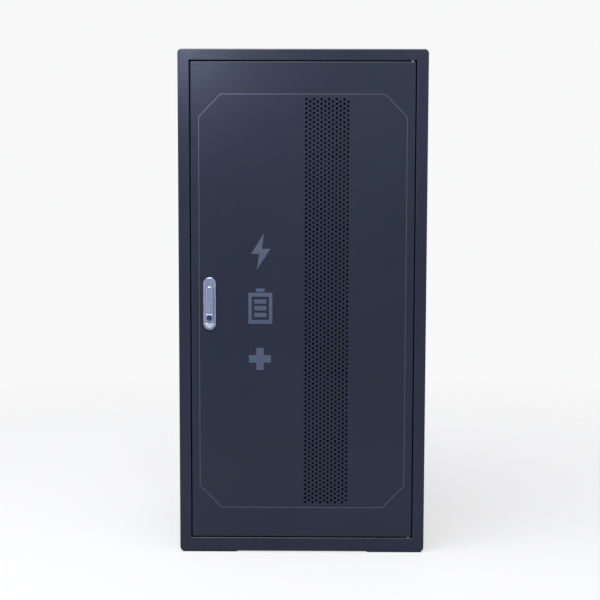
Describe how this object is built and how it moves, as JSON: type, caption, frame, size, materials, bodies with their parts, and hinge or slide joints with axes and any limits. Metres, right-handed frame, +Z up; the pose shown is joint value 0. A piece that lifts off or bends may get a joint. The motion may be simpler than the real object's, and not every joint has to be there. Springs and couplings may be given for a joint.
{
  "type": "server rack battery cabinet",
  "caption": "Floor-standing enclosed rack with slide-in battery modules, busbars, a perforated hinged door and a swing handle.",
  "frame": {"origin": "centre of the cabinet's footprint on the floor, which is also the centre of the floor bolt pattern", "axes": "+Z up, -Y out through the door, +X to the hinge side"},
  "size_m": [0.6, 0.613, 1.225],
  "materials": {
    "powder_coat": "satin fine-texture powder coat, dark blue-grey",
    "galvanised_steel": "zinc-coated sheet steel",
    "module_paint": "matt black module case and front",
    "die_cast_zinc": "satin plated die-cast handle",
    "bright_steel": "bright zinc-plated fasteners and pins",
    "copper_bar": "bare copper bar",
    "tinned_copper": "tinned cable lugs",
    "black_rubber": "matt seal and grommet rubber",
    "black_plastic": "black moulded plastic",
    "red_plastic": "red moulded insulator and positive connector",
    "positive_sheath": "red lead insulation",
    "negative_sheath": "black lead insulation",
    "data_sheath": "dark grey patch lead jacket",
    "display_plastic": "glossy display bezel",
    "button_steel": "brushed button face",
    "circuit_board": "solder-masked board",
    "cell_can": "film-wrapped aluminium cell",
    "lock_brass": "dark plated lock cylinder"
  },
  "bodies": {
    "cabinet": {"base_pan": "galvanised_steel", "battery_cases": "module_paint", "battery_fronts": "module_paint", "battery_handles": "bright_steel", "bms_boards": "circuit_board", "breaker_bodies": "black_plastic", "busbar_insulators": "red_plastic", "busbar_negative": "copper_bar", "busbar_positive": "copper_bar", "cable_grommets": "black_rubber", "cage_nuts": "galvanised_steel", "cell_packs": "cell_can", "data_leads": "data_sheath", "data_plugs": "data_sheath", "data_sockets": "black_plastic", "entry_plate": "powder_coat", "foot_plates": "galvanised_steel", "front_frame": "powder_coat", "front_rails": "galvanised_steel", "hinge_pins": "bright_steel", "lead_lugs": "tinned_copper", "left_side_panel": "powder_coat", "m8_studs": "bright_steel", "negative_leads": "negative_sheath", "negative_plugs": "black_plastic", "negative_terminals": "black_plastic", "panel_screws": "bright_steel", "positive_leads": "positive_sheath", "positive_plugs": "red_plastic", "positive_terminals": "red_plastic", "power_collars": "black_plastic", "rack_screws": "bright_steel", "rear_panel": "powder_coat", "rear_rails": "galvanised_steel", "right_side_panel": "powder_coat", "slot_runners": "galvanised_steel", "status_displays": "display_plastic", "top_panel": "powder_coat"},
    "door": {"door_panel": "powder_coat", "door_stiffeners": "galvanised_steel", "door_seal": "black_rubber", "lock_housing": "die_cast_zinc", "lock_backplate": "galvanised_steel"},
    "handle": {"handle_spindle": "bright_steel", "latch_cam": "bright_steel"},
    "lever": {"swing_lever": "die_cast_zinc"},
    "lock_core": {"lock_cylinder": "lock_brass"},
    "release": {"release_button": "die_cast_zinc"},
    "toggle_1": {"breaker_toggle_1": "black_plastic"},
    "button_1": {"power_button_1": "button_steel"},
    "toggle_2": {"breaker_toggle_2": "black_plastic"},
    "button_2": {"power_button_2": "button_steel"},
    "toggle_3": {"breaker_toggle_3": "black_plastic"},
    "button_3": {"power_button_3": "button_steel"},
    "toggle_4": {"breaker_toggle_4": "black_plastic"},
    "button_4": {"power_button_4": "button_steel"},
    "toggle_5": {"breaker_toggle_5": "black_plastic"},
    "button_5": {"power_button_5": "button_steel"},
    "toggle_6": {"breaker_toggle_6": "black_plastic"},
    "button_6": {"power_button_6": "button_steel"}
  },
  "joints": [
    {"name": "door_swing", "type": "hinge", "parent": "cabinet", "child": "door", "pos_m": [0.262, -0.294, 0.61675], "axis": [0, 0, 1], "range_deg": [0, 110]},
    {"name": "handle_turn", "type": "hinge", "parent": "door", "child": "handle", "pos_m": [-0.2247, -0.3, 0.645], "axis": [0, -1, 0], "range_deg": [0, 90]},
    {"name": "lever_lift", "type": "hinge", "parent": "handle", "child": "lever", "pos_m": [-0.2247, -0.3082, 0.651], "axis": [-1, 0, 0], "range_deg": [0, 35]},
    {"name": "key_turn", "type": "hinge", "parent": "lever", "child": "lock_core", "pos_m": [-0.2247, -0.309, 0.5807], "axis": [0, -1, 0], "range_deg": [0, 90]},
    {"name": "release_push", "type": "slide", "parent": "door", "child": "release", "axis": [0, 1, 0], "range_m": [0, 0.002], "stiffness_N_per_m": 500},
    {"name": "breaker_switch_1", "type": "hinge", "parent": "cabinet", "child": "toggle_1", "pos_m": [-0.095, -0.229, 0.16825], "axis": [1, 0, 0], "range_deg": [0, 44]},
    {"name": "breaker_switch_2", "type": "hinge", "parent": "cabinet", "child": "toggle_2", "pos_m": [-0.095, -0.229, 0.34605], "axis": [1, 0, 0], "range_deg": [0, 44]},
    {"name": "breaker_switch_3", "type": "hinge", "parent": "cabinet", "child": "toggle_3", "pos_m": [-0.095, -0.229, 0.52385], "axis": [1, 0, 0], "range_deg": [0, 44]},
    {"name": "breaker_switch_4", "type": "hinge", "parent": "cabinet", "child": "toggle_4", "pos_m": [-0.095, -0.229, 0.70165], "axis": [1, 0, 0], "range_deg": [0, 44]},
    {"name": "breaker_switch_5", "type": "hinge", "parent": "cabinet", "child": "toggle_5", "pos_m": [-0.095, -0.229, 0.87945], "axis": [1, 0, 0], "range_deg": [0, 44]},
    {"name": "breaker_switch_6", "type": "hinge", "parent": "cabinet", "child": "toggle_6", "pos_m": [-0.095, -0.229, 1.05725], "axis": [1, 0, 0], "range_deg": [0, 44]},
    {"name": "power_press_1", "type": "slide", "parent": "cabinet", "child": "button_1", "axis": [0, 1, 0], "range_m": [0, 0.0015], "stiffness_N_per_m": 500},
    {"name": "power_press_2", "type": "slide", "parent": "cabinet", "child": "button_2", "axis": [0, 1, 0], "range_m": [0, 0.0015], "stiffness_N_per_m": 500},
    {"name": "power_press_3", "type": "slide", "parent": "cabinet", "child": "button_3", "axis": [0, 1, 0], "range_m": [0, 0.0015], "stiffness_N_per_m": 500},
    {"name": "power_press_4", "type": "slide", "parent": "cabinet", "child": "button_4", "axis": [0, 1, 0], "range_m": [0, 0.0015], "stiffness_N_per_m": 500},
    {"name": "power_press_5", "type": "slide", "parent": "cabinet", "child": "button_5", "axis": [0, 1, 0], "range_m": [0, 0.0015], "stiffness_N_per_m": 500},
    {"name": "power_press_6", "type": "slide", "parent": "cabinet", "child": "button_6", "axis": [0, 1, 0], "range_m": [0, 0.0015], "stiffness_N_per_m": 500}
  ]
}
